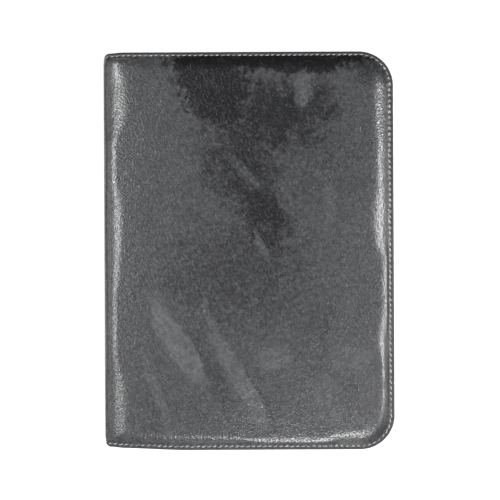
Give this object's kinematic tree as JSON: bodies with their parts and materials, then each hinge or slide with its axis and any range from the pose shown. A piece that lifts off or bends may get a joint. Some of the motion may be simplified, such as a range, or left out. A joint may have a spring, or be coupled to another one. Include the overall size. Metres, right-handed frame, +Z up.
{
  "type": "executive portfolio",
  "caption": "Padded book-fold portfolio with a rolled spine, rounded free corners and edge stitching, holding inner pockets, a pen loop and a sliding writing pad.",
  "frame": {"origin": "on the table, under the middle of the closed portfolio", "axes": "+Z up through the front cover, +Y to the head of the spine, spine on the -X side"},
  "size_m": [0.236, 0.324, 0.026],
  "materials": {
    "charcoal_leather": "polished grain leather, charcoal",
    "pale_thread": "pale grey thread",
    "grey_foam": "thin foam padding",
    "grey_board": "grey binder's board",
    "black_lining": "woven lining, matt",
    "black_pocket_leather": "thin smooth leather",
    "black_binding": "narrow bound edge",
    "black_elastic": "ribbed elastic band",
    "clear_window": "clear soft vinyl",
    "white_paper": "ruled paper",
    "pad_card": "brown card",
    "pad_tape": "binding tape"
  },
  "bodies": {
    "back_cover": {"back_cover_leather": "charcoal_leather", "back_foam_padding": "grey_foam", "back_board": "grey_board", "back_lining": "black_lining", "back_edge_stitching": "pale_thread", "pad_slot_panel": "black_pocket_leather", "pad_slot_binding": "black_binding"},
    "spine": {"spine_leather": "charcoal_leather", "spine_board": "grey_board", "spine_lining": "black_lining", "pen_loop": "black_elastic", "back_hinge_leather": "charcoal_leather", "back_hinge_lining": "black_lining", "front_hinge_leather": "charcoal_leather", "front_hinge_lining": "black_lining"},
    "front_cover": {"front_cover_leather": "charcoal_leather", "front_foam_padding": "grey_foam", "front_board": "grey_board", "front_lining": "black_lining", "front_edge_stitching": "pale_thread", "document_pocket": "black_pocket_leather", "document_pocket_binding": "black_binding", "card_pocket_upper": "black_pocket_leather", "card_pocket_middle": "black_pocket_leather", "card_pocket_lower": "black_pocket_leather", "id_window": "clear_window", "id_window_frame": "black_pocket_leather"},
    "writing_pad": {"pad_backing": "pad_card", "pad_sheets": "white_paper", "pad_binding_tape": "pad_tape"}
  },
  "joints": [
    {"name": "spine_fold", "type": "hinge", "parent": "back_cover", "child": "spine", "pos_m": [-0.1165, 0, 0.003], "axis": [0, -1, 0], "range_deg": [0, 90], "deforming": ["back_hinge_leather", "back_hinge_lining"]},
    {"name": "front_cover_fold", "type": "hinge", "parent": "spine", "child": "front_cover", "pos_m": [-0.1165, 0, 0.023], "axis": [0, -1, 0], "range_deg": [0, 90], "deforming": ["front_hinge_leather", "front_hinge_lining"]},
    {"name": "pad_slide", "type": "slide", "parent": "back_cover", "child": "writing_pad", "axis": [0, 1, 0], "range_m": [0, 0.2]}
  ]
}
